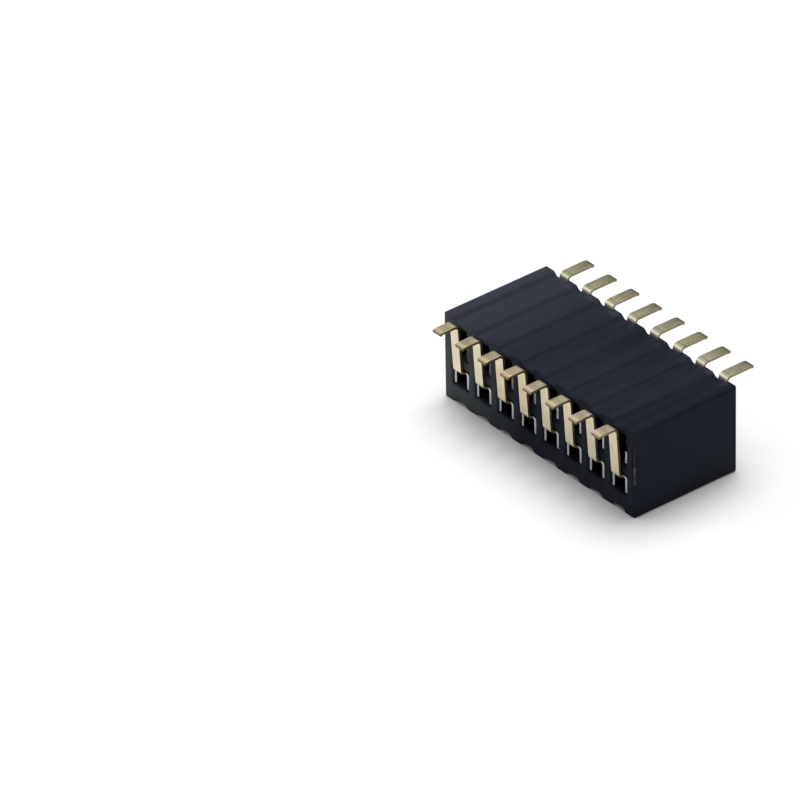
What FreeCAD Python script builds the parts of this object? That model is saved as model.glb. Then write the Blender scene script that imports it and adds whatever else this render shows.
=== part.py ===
import FreeCAD, Part
import math
import os

# Two-row socket strip, lying on its far side wall with the solder feet up.
# All sizes are millimetres. X runs along the rows, +Y is the mating face, +Z the seating side.

PITCH = 1.27
POSITIONS = 8
ROW_PITCH = 1.27

BODY_DEPTH = 4.81
BODY_HEIGHT = 3.61
END_MARGIN = 0.905
EDGE_RADIUS = 0.10
RIB_TOP = 0.44
RIB_FLANK = 0.18
RIB_HEIGHT = 0.15

CAVITY_WIDTH = 0.84
CAVITY_HEIGHT = 0.80
LEAD_IN = 0.08
RELIEF_DEPTH = 0.45
RELIEF_LIP = 0.06

GATE_LENGTH = 1.50
GATE_DEPTH = 0.07
GATE_MIDDLE = 2.16

SHEET = 0.10
CHANNEL_CLEARANCE = 0.02
CHANNEL_TOP_GAP = 0.07
CHANNEL_FOOT_GAP = 0.03
CHANNEL_LENGTH = 1.90
CHANNEL_BEND = 0.04
REAR_INSET = 0.08
BASE_SETBACK = 0.45
BASE_CUT = 0.22
SHOULDER_LENGTH = 0.35
SHOULDER_SETBACK = 1.10

BEAM_WIDTH = 0.40
BEAM_DROP = 0.22
PINCH_GAP = 0.30
PINCH_SETBACK = 1.00
TIP_SPREAD = 0.17
TIP_SETBACK = 0.60
BEAM_BEND = 0.30

TAIL_WIDTH = 0.44
TAIL_BEND = 0.12
TAIL_CLEARANCE = 0.03
FOOT_STANDOFF = 0.01
TIP_LENGTH = 0.14
TIP_DROOP = 0.04
REAR_LEAN = 0.14
REAR_REACH = 1.06
FRONT_LEAN = 0.06
FRONT_REACH = 1.37
FACET_ANGLE = 20.0

BODY_LENGTH = (POSITIONS - 1) * PITCH + 2 * END_MARGIN
REAR_FACE = -BODY_DEPTH / 2
MATING_FACE = BODY_DEPTH / 2
FAR_ROW = (BODY_HEIGHT - ROW_PITCH) / 2
NEAR_ROW = (BODY_HEIGHT + ROW_PITCH) / 2
FOOT_MIDDLE = BODY_HEIGHT + FOOT_STANDOFF - SHEET / 2
CHANNEL_WIDTH = CAVITY_WIDTH - 2 * CHANNEL_CLEARANCE
CHANNEL_HEIGHT = CAVITY_HEIGHT - CHANNEL_TOP_GAP - CHANNEL_FOOT_GAP
CHANNEL_TOP = CAVITY_HEIGHT / 2 - CHANNEL_TOP_GAP


def position_x(index):
    return (index - (POSITIONS - 1) / 2) * PITCH


def in_xz(a, b):
    return FreeCAD.Vector(a, 0, b)


def in_yz(a, b):
    return FreeCAD.Vector(0, a, b)


def in_xy(a, b):
    return FreeCAD.Vector(a, b, 0)


def polygon(points, plane):
    corners = [plane(a, b) for a, b in points]
    return Part.Face(Part.makePolygon(corners + corners[:1]))


# Outline of one sheet strip that follows a centre line and bends at its corners.
def strip_face(path, bend, plane):
    half = SHEET / 2
    left = []
    right = []
    for index, (a, b) in enumerate(path):
        before = heading(path[index - 1], path[index]) if index else None
        after = heading(path[index], path[index + 1]) if index + 1 < len(path) else None
        if before and after:
            left += bend_points((a, b), before, after, bend + half, half)
            right += bend_points((a, b), before, after, bend + half, -half)
        else:
            u, v = before or after
            left.append((a - half * v, b + half * u))
            right.append((a + half * v, b - half * u))
    return polygon(left + right[::-1], plane)


def heading(start, end):
    length = math.hypot(end[0] - start[0], end[1] - start[1])
    return ((end[0] - start[0]) / length, (end[1] - start[1]) / length)


def bend_points(corner, before, after, radius, offset):
    cross = before[0] * after[1] - before[1] * after[0]
    turn = math.copysign(1, cross)
    angle = math.atan2(abs(cross), before[0] * after[0] + before[1] * after[1])
    reach = radius * math.tan(angle / 2)
    centre_a = corner[0] - before[0] * reach - before[1] * radius * turn
    centre_b = corner[1] - before[1] * reach + before[0] * radius * turn
    facets = max(2, math.ceil(angle / math.radians(FACET_ANGLE)))
    arm = radius * turn - offset
    points = []
    for step in range(facets + 1):
        sweep = turn * angle * step / facets
        u = before[0] * math.cos(sweep) - before[1] * math.sin(sweep)
        v = before[1] * math.cos(sweep) + before[0] * math.sin(sweep)
        points.append((centre_a + v * arm, centre_b - u * arm))
    return points


# Ribbed side profile, one rib on every boundary between two positions.
def rib_profile(level, toward_middle):
    points = [(-BODY_LENGTH / 2, level)]
    for index in range(POSITIONS + 1):
        centre = (index - POSITIONS / 2) * PITCH
        if index > 0:
            points.append((centre - RIB_TOP / 2 - RIB_FLANK, level + toward_middle * RIB_HEIGHT))
            points.append((centre - RIB_TOP / 2, level))
        if index < POSITIONS:
            points.append((centre + RIB_TOP / 2, level))
            points.append((centre + RIB_TOP / 2 + RIB_FLANK, level + toward_middle * RIB_HEIGHT))
    points.append((BODY_LENGTH / 2, level))
    return points


def end_face_edges(block):
    edges = []
    for edge in block.Edges:
        box = edge.BoundBox
        if box.XLength < 1e-6 and abs(abs(box.XMin) - BODY_LENGTH / 2) < 1e-6:
            edges.append(edge)
    return edges


def body_block():
    lower = rib_profile(0.0, 1)
    upper = rib_profile(BODY_HEIGHT, -1)
    face = polygon(lower + upper[::-1], in_xz)
    face.translate(FreeCAD.Vector(0, REAR_FACE, 0))
    block = face.extrude(FreeCAD.Vector(0, BODY_DEPTH, 0))
    return block.makeFillet(EDGE_RADIUS, end_face_edges(block))


def mouth(x, z, face_y, inward):
    wide = CAVITY_WIDTH / 2 + LEAD_IN
    tall = CAVITY_HEIGHT / 2 + LEAD_IN
    wires = []
    for step, grow in ((0.0, 0.0), (LEAD_IN, LEAD_IN)):
        half_x = wide - grow
        half_z = tall - grow
        y = face_y + inward * step
        corners = [
            FreeCAD.Vector(x - half_x, y, z - half_z),
            FreeCAD.Vector(x + half_x, y, z - half_z),
            FreeCAD.Vector(x + half_x, y, z + half_z),
            FreeCAD.Vector(x - half_x, y, z + half_z),
        ]
        wires.append(Part.makePolygon(corners + corners[:1]))
    return Part.makeLoft(wires, True, True)


def cavity(x, z):
    corner = FreeCAD.Vector(x - CAVITY_WIDTH / 2, REAR_FACE, z - CAVITY_HEIGHT / 2)
    hole = Part.makeBox(CAVITY_WIDTH, BODY_DEPTH, CAVITY_HEIGHT, corner)
    return [hole, mouth(x, z, MATING_FACE, -1), mouth(x, z, REAR_FACE, 1)]


# Slope in the near row's ceiling that opens each cavity up to the seating side at the rear.
def ceiling_relief(x):
    ceiling = NEAR_ROW + CAVITY_HEIGHT / 2
    lip = BODY_HEIGHT - RIB_HEIGHT - RELIEF_LIP
    corners = [
        (REAR_FACE, ceiling - SHEET),
        (REAR_FACE + RELIEF_DEPTH, ceiling - SHEET),
        (REAR_FACE + RELIEF_DEPTH, ceiling),
        (REAR_FACE, lip),
    ]
    face = polygon(corners, in_yz)
    face.translate(FreeCAD.Vector(x - CAVITY_WIDTH / 2, 0, 0))
    return face.extrude(FreeCAD.Vector(CAVITY_WIDTH, 0, 0))


# Shallow scallop left where the moulding gate was trimmed from the rear edge of one end.
def gate_scallop():
    radius = (GATE_LENGTH ** 2 / 4 + GATE_DEPTH ** 2) / (2 * GATE_DEPTH)
    out = FreeCAD.Vector(1, -1, 0) / math.sqrt(2)
    along = FreeCAD.Vector(1, 1, 0) / math.sqrt(2)
    edge = FreeCAD.Vector(BODY_LENGTH / 2, REAR_FACE, GATE_MIDDLE)
    reach = 4 * GATE_DEPTH
    centre = edge + out * (radius - GATE_DEPTH) - along * reach
    return Part.makeCylinder(radius, 2 * reach, centre, along)


def housing():
    tools = [gate_scallop()]
    for index in range(POSITIONS):
        x = position_x(index)
        tools += cavity(x, FAR_ROW)
        tools += cavity(x, NEAR_ROW)
        tools.append(ceiling_relief(x))
    return body_block().cut(tools).removeSplitter()


# Channel, two converging spring beams and press shoulders shared by both kinds of contact.
def channel(top):
    middle = top - SHEET / 2
    side = (CHANNEL_WIDTH - SHEET) / 2
    bottom = top - CHANNEL_HEIGHT
    face = strip_face([(-side, bottom), (-side, middle), (side, middle), (side, bottom)], CHANNEL_BEND, in_xz)
    face.translate(FreeCAD.Vector(0, REAR_FACE + REAR_INSET, 0))
    return face.extrude(FreeCAD.Vector(0, CHANNEL_LENGTH, 0))


def beam(top, sign):
    side = (CHANNEL_WIDTH - SHEET) / 2
    start = REAR_FACE + REAR_INSET + CHANNEL_LENGTH
    pinch = PINCH_GAP / 2 + SHEET / 2
    path = [
        (sign * side, start - SHEET),
        (sign * side, start + SHEET),
        (sign * pinch, MATING_FACE - PINCH_SETBACK),
        (sign * (pinch + TIP_SPREAD / 2), MATING_FACE - TIP_SETBACK),
    ]
    face = strip_face(path, BEAM_BEND, in_xy)
    face.translate(FreeCAD.Vector(0, 0, top - BEAM_DROP - BEAM_WIDTH))
    return face.extrude(FreeCAD.Vector(0, 0, BEAM_WIDTH))


def shoulders(top):
    corner = FreeCAD.Vector(-CAVITY_WIDTH / 2, REAR_FACE + SHOULDER_SETBACK, top - SHEET)
    return Part.makeBox(CAVITY_WIDTH, SHOULDER_LENGTH, SHEET, corner)


def tail(path):
    face = strip_face(path, TAIL_BEND, in_yz)
    face.translate(FreeCAD.Vector(-TAIL_WIDTH / 2, 0, 0))
    return face.extrude(FreeCAD.Vector(TAIL_WIDTH, 0, 0))


# The front contact's base stops short of the rear, where only its two side walls go on.
def base_cutback(top):
    corner = FreeCAD.Vector(-CHANNEL_WIDTH / 2, REAR_FACE + REAR_INSET, top - BASE_CUT)
    return Part.makeBox(CHANNEL_WIDTH, BASE_SETBACK, BASE_CUT, corner)


def rear_tail(top):
    middle = top - SHEET / 2
    standing = REAR_FACE - TAIL_CLEARANCE - SHEET / 2
    return tail([
        (REAR_FACE + REAR_INSET + SHEET, middle),
        (standing, middle),
        (standing - REAR_LEAN, FOOT_MIDDLE),
        (REAR_FACE - REAR_REACH + TIP_LENGTH, FOOT_MIDDLE),
        (REAR_FACE - REAR_REACH, FOOT_MIDDLE - TIP_DROOP),
    ])


def front_tail(top):
    middle = top - SHEET / 2
    standing = MATING_FACE + TAIL_CLEARANCE + SHEET / 2
    return tail([
        (REAR_FACE + REAR_INSET + CHANNEL_LENGTH - SHEET, middle),
        (standing, middle),
        (standing + FRONT_LEAN, FOOT_MIDDLE),
        (MATING_FACE + FRONT_REACH - TIP_LENGTH, FOOT_MIDDLE),
        (MATING_FACE + FRONT_REACH, FOOT_MIDDLE - TIP_DROOP),
    ])


def contact(row, tail_maker):
    top = row + CHANNEL_TOP
    pieces = [beam(top, -1), beam(top, 1), shoulders(top), tail_maker(top)]
    return channel(top).fuse(pieces).removeSplitter()


def save(name, shape):
    shape.exportStep(os.path.join("parts", name + ".step"))


os.makedirs("parts", exist_ok=True)
save("housing", housing())
rear_contact = contact(FAR_ROW, rear_tail)
front_contact = contact(NEAR_ROW, front_tail).cut(base_cutback(NEAR_ROW + CHANNEL_TOP))
for number in range(POSITIONS):
    shift = FreeCAD.Vector(position_x(number), 0, 0)
    save("rear_contact_" + str(number + 1), rear_contact.translated(shift))
    save("front_contact_" + str(number + 1), front_contact.translated(shift))
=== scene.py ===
import math

import bpy
from mathutils import Matrix, Vector

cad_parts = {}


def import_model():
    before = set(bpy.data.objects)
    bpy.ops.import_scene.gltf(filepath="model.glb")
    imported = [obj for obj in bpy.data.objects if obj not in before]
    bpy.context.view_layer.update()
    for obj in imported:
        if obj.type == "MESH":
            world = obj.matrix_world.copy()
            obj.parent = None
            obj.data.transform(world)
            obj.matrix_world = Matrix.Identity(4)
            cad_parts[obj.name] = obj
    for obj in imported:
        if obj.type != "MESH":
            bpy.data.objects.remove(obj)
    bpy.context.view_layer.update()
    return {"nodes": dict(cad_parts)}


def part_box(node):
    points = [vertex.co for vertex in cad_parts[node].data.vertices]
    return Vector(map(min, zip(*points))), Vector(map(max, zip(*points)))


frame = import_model()
NODES = frame["nodes"]
MM = 0.001

# Camera, solved from the photograph: row frame, millimetres
CAMERA_AT = (232.574, -193.298, 198.123)
CAMERA_RIGHT = (0.62996, 0.77645, -0.01663)
CAMERA_AHEAD = (-0.65674, 0.52116, -0.54506)
CAMERA_LENS = 450.0
SENSOR = 36.0

# Places on the part, read from the frame, millimetres
BODY_LOW, BODY_HIGH = (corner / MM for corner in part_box("housing"))
REAR_FACE = BODY_LOW.y
MATING_FACE = BODY_HIGH.y
BODY_END = BODY_HIGH.x
SEATING_FACE = BODY_HIGH.z
PITCH = abs(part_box("rear_contact_2")[0].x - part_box("rear_contact_1")[0].x) / MM

# Reaches from the housing's faces, millimetres
REAR_TIP = REAR_FACE - 1.06
FRONT_TIP = MATING_FACE + 1.37
CHANNEL_END = REAR_FACE + 0.08

# Housing colours, linear
PLASTIC_DARK = (0.0095, 0.0115, 0.0200)
PLASTIC_LIGHT = (0.0175, 0.0205, 0.0315)
# Painted light: the housing paler towards its -X end
PAINTED_LIGHT_FAR_END = (0.0400, 0.0480, 0.0640)
# Painted shade on the seating side's last rib at the +X end
PAINTED_SHADE_NEAR_END = (0.0050, 0.0065, 0.0110)
# Painted light: the rear wall paler towards the -X end
PAINTED_LIGHT_REAR = (0.078, 0.087, 0.080)
# Paler sharp edges: wear, together with a painted edge highlight
PLASTIC_EDGE_WEAR_AND_HIGHLIGHT = (0.055, 0.060, 0.072)
PLASTIC_SHEEN = (0.075, 0.090, 0.125)
# Painted sheen on the rounded ends of the ribs
PLASTIC_RIB_END_SHEEN = (0.060, 0.056, 0.070)
# Painted light on the ribs' sides that face +X
PAINTED_LIGHT_FLANK = (0.036, 0.042, 0.058)
# Pale gate mark, partly a painted highlight
PLASTIC_GATE_MARK_AND_HIGHLIGHT = (0.085, 0.085, 0.090)
CAVITY_SHADOW = (0.0020, 0.0020, 0.0030)

# Contact colours, linear
GOLD_DARK = (0.63, 0.55, 0.34)
GOLD_LIGHT = (0.74, 0.66, 0.44)
GOLD_THIN = (0.60, 0.60, 0.47)
GOLD_WARM = (0.84, 0.64, 0.46)
GOLD_STREAK = (0.86, 0.76, 0.58)
GOLD_GREEN = (0.50, 0.50, 0.26)
GOLD_PINK = (0.62, 0.45, 0.32)
# Painted shade: the front feet's upper faces darker and greyer
FRONT_FOOT_PAINTED_SHADE = (0.32, 0.320, 0.190)
# Painted shade: the rear feet's upper faces darker
REAR_FOOT_PAINTED_SHADE = (0.50, 0.42, 0.24)
FOOT_SHADE = (0.33, 0.31, 0.31)
# Painted highlight next to the rear foot's bend
PAINTED_HIGHLIGHT_SHANK = (0.95, 0.86, 0.66)
# Painted shade where the front foot's bend ends
PAINTED_SHADE_BEND_END = (0.10, 0.095, 0.055)
# Painted highlight on the outer side of the front foot's bend
PAINTED_HIGHLIGHT_HEEL = (0.98, 0.93, 0.74)
SHEARED_SIDE = (0.17, 0.12, 0.05)
CUT_END = (0.13, 0.080, 0.045)
# Painted shade on the rear feet's tips
PAINTED_SHADE_TIP = (0.15, 0.105, 0.06)
BARE_METAL = (0.50, 0.52, 0.52)
# Painted highlight on the near row's channel ends
PAINTED_HIGHLIGHT_WHITE = (1.0, 1.0, 1.0)
CHANNEL_SHADOW = (0.010, 0.008, 0.006)

# Fine edges: millimetres and degrees
HOUSING_EDGE = 0.060
CONTACT_EDGE = 0.014
EDGE_SEGMENTS = 2
EDGE_ANGLE = 35
CRISP_ANGLE = 20
SHADED_EDGE = 0.11

# Floor and lamps: metres and watts
FLOOR_SIZE = 3.0
FLOOR_COLOUR = (0.94, 0.94, 0.945)
WORLD_LEVEL = 0.20
KEY_AT = (-0.085, 0.080, 0.436)
KEY_SIZE = 0.42
KEY_POWER = 2.22
LEFT_AT = (-0.30, -0.25, 0.24)
LEFT_SIZE = 0.20
LEFT_POWER = 0.20
LAMP_AIM = (0, 0, 0.002)


# Node graphs

class Graph:
    """A short way to write a material's nodes. Places are in millimetres."""

    def __init__(self, name):
        self.material = bpy.data.materials.new(name)
        self.material.use_nodes = True
        self.tree = self.material.node_tree
        self.tree.nodes.clear()
        self.shader = self.node("ShaderNodeBsdfPrincipled")
        self.output = self.node("ShaderNodeOutputMaterial")
        self.link(self.shader.outputs[0], self.output.inputs["Surface"])
        self.place = self.node("ShaderNodeTexCoord").outputs["Object"]
        self.geometry = self.node("ShaderNodeNewGeometry").outputs
        self.x, self.y, self.z = self.parts(self.place)
        self.nx, self.ny, self.nz = self.parts(self.geometry["Normal"])
        self.colour = None

    def node(self, kind, **values):
        made = self.tree.nodes.new(kind)
        for key, value in values.items():
            setattr(made, key, value)
        return made

    def link(self, source, target):
        self.tree.links.new(source, target)

    def feed(self, target, value):
        if isinstance(value, bpy.types.NodeSocket):
            self.link(value, target)
        else:
            target.default_value = value

    def math(self, operation, a, b=0.0):
        made = self.node("ShaderNodeMath", operation=operation)
        self.feed(made.inputs[0], a)
        self.feed(made.inputs[1], b)
        return made.outputs[0]

    def times(self, first, *others):
        for other in others:
            first = self.math("MULTIPLY", first, other)
        return first

    def size(self, value):
        return self.math("ABSOLUTE", value)

    def beyond(self, value, limit_mm):
        return self.math("GREATER_THAN", value, limit_mm * MM)

    def before(self, value, limit_mm):
        return self.math("LESS_THAN", value, limit_mm * MM)

    def parts(self, vector):
        made = self.node("ShaderNodeSeparateXYZ")
        self.feed(made.inputs[0], vector)
        return made.outputs

    def noise(self, scales, detail=3.0, rough=0.55):
        """Noise with so many features for each millimetre along x, y and z."""
        stretched = self.node("ShaderNodeMapping")
        self.link(self.place, stretched.inputs["Vector"])
        stretched.inputs["Scale"].default_value = [scale / MM for scale in scales]
        made = self.node("ShaderNodeTexNoise")
        self.link(stretched.outputs[0], made.inputs["Vector"])
        made.inputs["Scale"].default_value = 1.0
        made.inputs["Detail"].default_value = detail
        made.inputs["Roughness"].default_value = rough
        return made.outputs["Fac"]

    def span(self, value, low, high, to_low=0.0, to_high=1.0, smooth=False):
        """Goes from to_low to to_high while the value goes from low to high."""
        kind = "SMOOTHSTEP" if smooth else "LINEAR"
        made = self.node("ShaderNodeMapRange", interpolation_type=kind)
        self.feed(made.inputs["Value"], value)
        made.inputs["From Min"].default_value = low
        made.inputs["From Max"].default_value = high
        made.inputs["To Min"].default_value = to_low
        made.inputs["To Max"].default_value = to_high
        return made.outputs["Result"]

    def along(self, place, start_mm, end_mm, to_low=0.0, to_high=1.0, smooth=False):
        """The same between two places on one axis."""
        return self.span(place, start_mm * MM, end_mm * MM, to_low, to_high, smooth)

    def mix(self, factor, a, b):
        made = self.node("ShaderNodeMix", data_type="RGBA")
        self.feed(made.inputs[0], factor)
        for socket, value in ((made.inputs[6], a), (made.inputs[7], b)):
            self.feed(socket, value if isinstance(value, bpy.types.NodeSocket) else (*value, 1.0))
        return made.outputs[2]

    def coat(self, where, colour, strength=1.0):
        """Lays a colour over what is there so far."""
        factor = where if strength == 1.0 else self.times(where, strength)
        self.colour = self.mix(factor, self.colour, colour)

    def bump(self, height, distance_mm, around=None):
        made = self.node("ShaderNodeBump")
        self.feed(made.inputs["Height"], height)
        if around:
            self.link(around, made.inputs["Normal"])
        made.inputs["Distance"].default_value = distance_mm * MM
        self.link(made.outputs[0], self.shader.inputs["Normal"])

    def set(self, **values):
        for key, value in values.items():
            self.feed(self.shader.inputs[key.replace("_", " ")], value)


# Housing plastic: where each mark lies

def mould_streaks(g):
    """Flow lines along the depth, faint on the two end faces."""
    lines = g.noise((7.0, 0.25, 7.0), detail=4.0, rough=0.6)
    contrast = g.span(g.size(g.nx), 0.8, 0.95, 1.0, 0.15)
    return g.math("ADD", 0.5, g.times(g.math("SUBTRACT", lines, 0.5), contrast))


def plastic_tone(g, streaks):
    """Slow clouds and the flow lines together."""
    cloud = g.noise((0.6, 0.5, 0.6), detail=2.0)
    tone = g.math("ADD", g.times(streaks, 0.6), g.times(cloud, 0.4))
    return g.span(tone, 0.35, 0.68)


def far_end_painted_light(g):
    """Painted light: paler from the middle to the -X end."""
    return g.along(g.x, -1.0, -BODY_END, 0.0, 0.75)


def near_end_painted_shade(g):
    """Painted shade: the seating side's last rib at the +X end made darker, more so towards the
    rear.
    """
    band = g.along(g.x, BODY_END - 1.45, BODY_END - 0.65, smooth=True)
    rearward = g.along(g.y, MATING_FACE - 0.205, MATING_FACE - 2.105, 0.25, 0.50)
    edge = g.along(g.x, BODY_END - 0.40, BODY_END - 0.20, 0.0, 0.62, smooth=True)
    return g.times(g.math("MAXIMUM", g.times(band, rearward), edge), g.span(g.nz, 0.45, 0.75))


def far_rear_painted_light(g):
    """Painted light: the rear wall paler towards the -X end."""
    return g.times(far_end_painted_light(g), g.span(g.ny, -0.7, -0.9))


# Paler sharp edges: wear, together with a painted edge highlight.
def edge_wear_and_highlight(g):
    return g.span(g.geometry["Pointiness"], 0.52, 0.60, smooth=True)


def far_edge(g):
    """The bluish sheen along the rounded edge of the seating side at the -X end."""
    end = g.along(g.x, -BODY_END + 0.16, -BODY_END + 0.05, smooth=True)
    top = g.along(g.z, SEATING_FACE - 0.25, SEATING_FACE - 0.05, smooth=True)
    patchy = g.span(g.noise((1.2, 1.2, 1.2), detail=4.0), 0.40, 0.60, 0.35, 1.0)
    return g.times(end, top, patchy)


def rib_end_sheen(g):
    """Painted sheen: irregular paler patches where the ribs' tops meet the mating face."""
    face = g.along(g.y, MATING_FACE - 0.60, MATING_FACE - 0.20, smooth=True)
    top = g.along(g.z, SEATING_FACE - 0.12, SEATING_FACE - 0.03, smooth=True)
    patches = g.span(g.noise((1.6, 2.2, 1.6)), 0.48, 0.62, 0.0, 0.5)
    return g.times(face, top, patches)


def rib_flanks_painted_light(g):
    """Painted light: the sides of the ribs that face +X, made paler."""
    return g.times(g.span(g.nx, 0.35, 0.60), g.span(g.nz, 0.4, 0.6))


def gate_mark_and_highlight(g):
    """The pale, torn surface where the moulding gate was trimmed from one rear edge, with a
    painted highlight that is strongest on its lower half.
    """
    end = g.along(g.x, BODY_END - 0.11, BODY_END - 0.06, smooth=True)
    rear = g.along(g.y, REAR_FACE + 0.12, REAR_FACE + 0.07, smooth=True)
    low = g.along(g.z, 1.35, 1.55, smooth=True)
    high = g.along(g.z, 3.0, 1.9, 0.10, 1.0, smooth=True)
    torn = g.span(g.noise((7.0, 7.0, 4.5), detail=5.0, rough=0.7), 0.42, 0.60, 0.10, 1.0)
    return g.times(end, rear, torn, low, high)


def inside_cavity(g):
    """1 between the two side walls and away from the two ends, 0 near the outside."""
    above = g.beyond(g.z, 0.5)
    below = g.before(g.z, SEATING_FACE - 0.61)
    between = g.before(g.size(g.x), BODY_END - 0.25)
    return g.times(above, below, between)


def cavity_depth(g):
    """Rises going into a cavity from either open face."""
    from_rear = g.along(g.y, REAR_FACE + 0.15, REAR_FACE + 0.75, smooth=True)
    from_front = g.along(g.y, MATING_FACE + 0.30, MATING_FACE - 1.20, smooth=True)
    return g.times(inside_cavity(g), from_rear, from_front)


def rounded_normal(g):
    """Shading that rounds the housing's edges a little more than their mesh does."""
    rounded = g.node("ShaderNodeBevel", samples=8)
    rounded.inputs["Radius"].default_value = SHADED_EDGE * MM
    return rounded.outputs[0]


def plastic():
    g = Graph("housing_plastic")
    streaks = mould_streaks(g)
    depth = cavity_depth(g)
    g.colour = g.mix(plastic_tone(g, streaks), PLASTIC_DARK, PLASTIC_LIGHT)
    # Painted light: the housing paler towards its -X end
    g.coat(far_end_painted_light(g), PAINTED_LIGHT_FAR_END)
    # Painted light: the rear wall paler towards the -X end
    g.coat(far_rear_painted_light(g), PAINTED_LIGHT_REAR)
    # Paler sharp edges: wear, together with a painted edge highlight
    g.coat(edge_wear_and_highlight(g), PLASTIC_EDGE_WEAR_AND_HIGHLIGHT, strength=0.10)
    g.coat(far_edge(g), PLASTIC_SHEEN)
    # Painted sheen on the rounded ends of the ribs
    g.coat(rib_end_sheen(g), PLASTIC_RIB_END_SHEEN)
    # Painted light on the ribs' sides that face +X
    g.coat(rib_flanks_painted_light(g), PAINTED_LIGHT_FLANK, strength=0.17)
    # Painted shade on the seating side's last rib at the +X end
    g.coat(near_end_painted_shade(g), PAINTED_SHADE_NEAR_END)
    # Pale gate mark, with a painted highlight on its lower half
    g.coat(gate_mark_and_highlight(g), PLASTIC_GATE_MARK_AND_HIGHLIGHT)
    g.coat(depth, CAVITY_SHADOW)
    g.set(Base_Color=g.colour, Roughness=g.span(streaks, 0.3, 0.7, 0.50, 0.64))
    g.set(Specular_IOR_Level=g.span(depth, 0.0, 1.0, 0.045, 0.01))
    grain = g.noise((38.0, 38.0, 38.0), detail=2.0, rough=0.7)
    height = g.math("ADD", g.times(grain, 0.5), g.times(streaks, 0.8))
    g.bump(height, 0.004, around=rounded_normal(g))
    return g.material


# Contact plating: where each mark lies

def plate(g, lines, cloud):
    """The plating itself: clouds, a thinner layer, warmer patches and drawing lines."""
    thin = g.span(g.noise((0.55, 0.2, 0.2), detail=1.0), 0.45, 0.62, 0.0, 0.5)
    warm = g.span(g.noise((2.6, 1.1, 0.9), detail=2.0), 0.50, 0.64, 0.0, 0.55)
    g.colour = g.mix(g.span(cloud, 0.35, 0.65), GOLD_DARK, GOLD_LIGHT)
    g.coat(thin, GOLD_THIN)
    g.coat(warm, GOLD_WARM)
    g.coat(g.span(lines, 0.48, 0.66, 0.0, 0.6), GOLD_STREAK)


def sheared_sides(g):
    return g.span(g.size(g.nx), 0.75, 0.9)


def upward(g):
    """1 on what faces the seating side."""
    return g.math("GREATER_THAN", g.nz, 0.7)


def front_foot(g):
    return g.times(upward(g), g.beyond(g.y, 0.0))


def rear_foot(g):
    return g.times(upward(g), g.before(g.y, REAR_FACE))


def shaded_half(g):
    """The half of each foot that lies towards -X."""
    across = g.math("FRACT", g.math("ADD", g.math("DIVIDE", g.x, PITCH * MM), 4.0))
    return g.times(g.span(across, 0.55, 0.33, smooth=True), upward(g))


def tint_rear_feet(g):
    """Some rear feet are greener and some pinker, as the plating varies."""
    tint = g.noise((0.85, 0.25, 0.25), detail=1.0)
    g.coat(g.times(rear_foot(g), g.span(tint, 0.50, 0.62, 0.0, 0.60)), GOLD_GREEN)
    g.coat(g.times(rear_foot(g), g.span(tint, 0.48, 0.36, 0.0, 0.60)), GOLD_PINK)


def shank_painted_highlight(g):
    """Painted highlight: the rear foot's stretch next to its bend, made bright."""
    return g.times(g.along(g.y, REAR_FACE - 0.66, REAR_FACE - 0.34, 0.0, 0.75), rear_foot(g))


def bend_end_painted_shade(g):
    """Painted shade: a dark line where the front foot's bend ends."""
    away = g.size(g.math("SUBTRACT", g.y, (MATING_FACE + 0.265) * MM))
    return g.times(g.along(away, 0.09, 0.04, 0.0, 0.50), upward(g))


def heel(g):
    """The outer side of the front foot's bend."""
    outside = g.beyond(g.y, MATING_FACE)
    bend = g.along(g.y, MATING_FACE + 0.22, MATING_FACE + 0.13, smooth=True)
    return g.times(outside, bend, g.span(g.size(g.nx), 0.6, 0.3))


def cut_ends(g):
    """The faces where the feet were cut from their carrier strip."""
    rear = g.before(g.y, REAR_TIP + 0.02)
    front = g.beyond(g.y, FRONT_TIP - 0.02)
    return g.math("ADD", rear, front)


def bare_ends(g):
    """The channels' rear ends, where the sheet's cut shows its bare metal."""
    away = g.size(g.math("SUBTRACT", g.y, CHANNEL_END * MM))
    return g.times(g.along(away, 0.025, 0.015), g.span(g.ny, -0.8, -0.95))


def near_row_painted_highlight(g):
    """Painted highlight: the channels' rear ends on the row near the seating side, made white and
    less metallic, more so towards +X.
    """
    return g.times(g.beyond(g.z, 2.0), g.along(g.x, -3.6, 1.5), bare_ends(g))


# The rear feet's tips: painted shade there, and rougher.
def rear_tip_zone(g):
    return g.along(g.y, REAR_TIP + 0.17, REAR_TIP + 0.07, smooth=True)


def held(g):
    """Rises just inside the channel's rear end and falls again past the middle of the depth."""
    entering = g.along(g.y, REAR_FACE + 0.085, REAR_FACE + 0.17, smooth=True)
    leaving = g.math("SUBTRACT", 1.0, g.along(g.y, 0.2, 1.0, smooth=True))
    return g.times(entering, leaving)


def dullness(g):
    """Sheared sides, heels and the rear feet's tips scatter more light."""
    return g.math("MAXIMUM", g.math("MAXIMUM", sheared_sides(g), heel(g)), rear_tip_zone(g))


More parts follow.
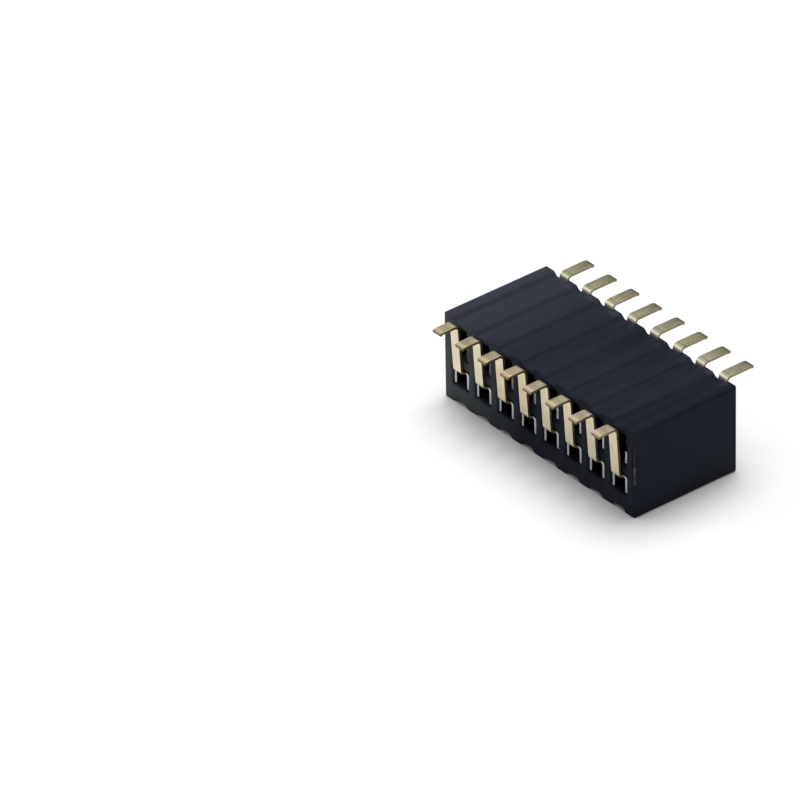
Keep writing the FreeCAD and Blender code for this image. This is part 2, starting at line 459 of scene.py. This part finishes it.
def gold():
    g = Graph("contact_gold")
    lines = g.noise((26.0, 1.6, 1.6), rough=0.6)
    cloud = g.noise((1.7, 1.7, 1.7))
    plate(g, lines, cloud)
    g.coat(sheared_sides(g), SHEARED_SIDE, strength=0.80)
    # Painted shade: the front feet's upper faces darker and greyer
    g.coat(front_foot(g), FRONT_FOOT_PAINTED_SHADE, strength=0.80)
    # Painted shade: the rear feet's upper faces darker
    g.coat(rear_foot(g), REAR_FOOT_PAINTED_SHADE, strength=0.60)
    g.coat(shaded_half(g), FOOT_SHADE, strength=0.15)
    tint_rear_feet(g)
    # Painted highlight next to the rear foot's bend
    g.coat(shank_painted_highlight(g), PAINTED_HIGHLIGHT_SHANK)
    # Painted shade where the front foot's bend ends
    g.coat(bend_end_painted_shade(g), PAINTED_SHADE_BEND_END)
    # Painted highlight on the outer side of the front foot's bend
    g.coat(heel(g), PAINTED_HIGHLIGHT_HEEL)
    g.coat(cut_ends(g), CUT_END, strength=0.8)
    g.coat(bare_ends(g), BARE_METAL)
    # Painted highlight on the near row's channel ends
    g.coat(near_row_painted_highlight(g), PAINTED_HIGHLIGHT_WHITE)
    # Painted shade on the rear feet's tips
    g.coat(rear_tip_zone(g), PAINTED_SHADE_TIP, strength=0.62)
    g.coat(held(g), CHANNEL_SHADOW, strength=0.93)
    rough = g.math("ADD", g.span(lines, 0.3, 0.7, 0.26, 0.40), g.times(dullness(g), 0.16))
    # Painted highlight: the near row's channel ends less metallic, so they look pale
    metallic = g.span(near_row_painted_highlight(g), 0.0, 1.0, 1.0, 0.3)
    g.set(Base_Color=g.colour, Metallic=metallic, Roughness=rough)
    g.bump(g.math("ADD", lines, g.times(cloud, 0.6)), 0.003)
    return g.material


# Fine edges on the carried-over solids

def weld(node, name, distance_mm):
    made = node.modifiers.new(name, "WELD")
    made.merge_threshold = distance_mm * MM


def soften(node, width_mm):
    """Rounds the sharp edges and leaves a closed mesh with no empty faces."""
    weld(node, "joined", 0.001)
    bevel = node.modifiers.new("edges", "BEVEL")
    bevel.width = width_mm * MM
    bevel.segments = EDGE_SEGMENTS
    bevel.limit_method = "ANGLE"
    bevel.angle_limit = math.radians(EDGE_ANGLE)
    bevel.miter_outer = "MITER_ARC"
    bevel.use_clamp_overlap = True
    weld(node, "cleaned", 0.0003)


def crisp_shading():
    """A geometry group that stops smooth shading at every edge sharper than CRISP_ANGLE."""
    group = bpy.data.node_groups.new("crisp_shading", "GeometryNodeTree")
    group.interface.new_socket("Geometry", in_out="INPUT", socket_type="NodeSocketGeometry")
    group.interface.new_socket("Geometry", in_out="OUTPUT", socket_type="NodeSocketGeometry")
    entry = group.nodes.new("NodeGroupInput")
    leave = group.nodes.new("NodeGroupOutput")
    angle = group.nodes.new("GeometryNodeInputMeshEdgeAngle")
    sharper = group.nodes.new("ShaderNodeMath")
    sharper.operation = "GREATER_THAN"
    sharper.inputs[1].default_value = math.radians(CRISP_ANGLE)
    crease = group.nodes.new("GeometryNodeSetShadeSmooth")
    crease.domain = "EDGE"
    crease.inputs["Shade Smooth"].default_value = False
    group.links.new(angle.outputs["Unsigned Angle"], sharper.inputs[0])
    group.links.new(entry.outputs[0], crease.inputs["Geometry"])
    group.links.new(sharper.outputs[0], crease.inputs["Selection"])
    group.links.new(crease.outputs[0], leave.inputs[0])
    return group


def dress(node, material):
    node.data.materials.clear()
    node.data.materials.append(material)
    for face in node.data.polygons:
        face.use_smooth = True


def dress_housing(node, material):
    dress(node, material)
    soften(node, HOUSING_EDGE)


def dress_contact(node, material, crisp):
    dress(node, material)
    soften(node, CONTACT_EDGE)
    node.modifiers.new("crisp", "NODES").node_group = crisp


def dress_all():
    housing_plastic = plastic()
    contact_gold = gold()
    crisp = crisp_shading()
    for name, node in NODES.items():
        if name == "housing":
            dress_housing(node, housing_plastic)
        else:
            dress_contact(node, contact_gold, crisp)


# Floor, light and camera

def floor():
    bpy.ops.mesh.primitive_plane_add(size=FLOOR_SIZE, location=(0, 0, 0))
    plane = bpy.context.object
    plane.name = "floor"
    material = bpy.data.materials.new("floor")
    material.use_nodes = True
    tree = material.node_tree
    tree.nodes.clear()
    diffuse = tree.nodes.new("ShaderNodeBsdfDiffuse")
    diffuse.inputs["Color"].default_value = (*FLOOR_COLOUR, 1.0)
    output = tree.nodes.new("ShaderNodeOutputMaterial")
    tree.links.new(diffuse.outputs[0], output.inputs["Surface"])
    plane.data.materials.append(material)


def world():
    made = bpy.data.worlds.new("studio")
    bpy.context.scene.world = made
    made.use_nodes = True
    tree = made.node_tree
    tree.nodes.clear()
    back = tree.nodes.new("ShaderNodeBackground")
    back.inputs["Color"].default_value = (1.0, 1.0, 1.0, 1.0)
    back.inputs["Strength"].default_value = WORLD_LEVEL
    output = tree.nodes.new("ShaderNodeOutputWorld")
    tree.links.new(back.outputs[0], output.inputs["Surface"])


def lamp(name, at, size, power):
    data = bpy.data.lights.new(name, "AREA")
    data.shape = "DISK"
    data.size = size
    data.energy = power
    made = bpy.data.objects.new(name, data)
    bpy.context.scene.collection.objects.link(made)
    made.location = at
    made.rotation_euler = (Vector(LAMP_AIM) - Vector(at)).to_track_quat("-Z", "Y").to_euler()


def camera():
    ahead = Vector(CAMERA_AHEAD).normalized()
    right = Vector(CAMERA_RIGHT)
    right = (right - ahead * right.dot(ahead)).normalized()
    up = right.cross(ahead)
    data = bpy.data.cameras.new("camera")
    data.sensor_width = SENSOR
    data.lens = CAMERA_LENS
    data.clip_start = 0.01
    data.clip_end = 20.0
    made = bpy.data.objects.new("camera", data)
    bpy.context.scene.collection.objects.link(made)
    turn = Matrix((right, up, -ahead)).transposed().to_4x4()
    made.matrix_world = Matrix.Translation(Vector(CAMERA_AT) * MM) @ turn
    bpy.context.scene.camera = made


dress_all()
floor()
world()
lamp("key", KEY_AT, KEY_SIZE, KEY_POWER)
lamp("left", LEFT_AT, LEFT_SIZE, LEFT_POWER)
camera()
bpy.context.scene.view_settings.view_transform = "Standard"
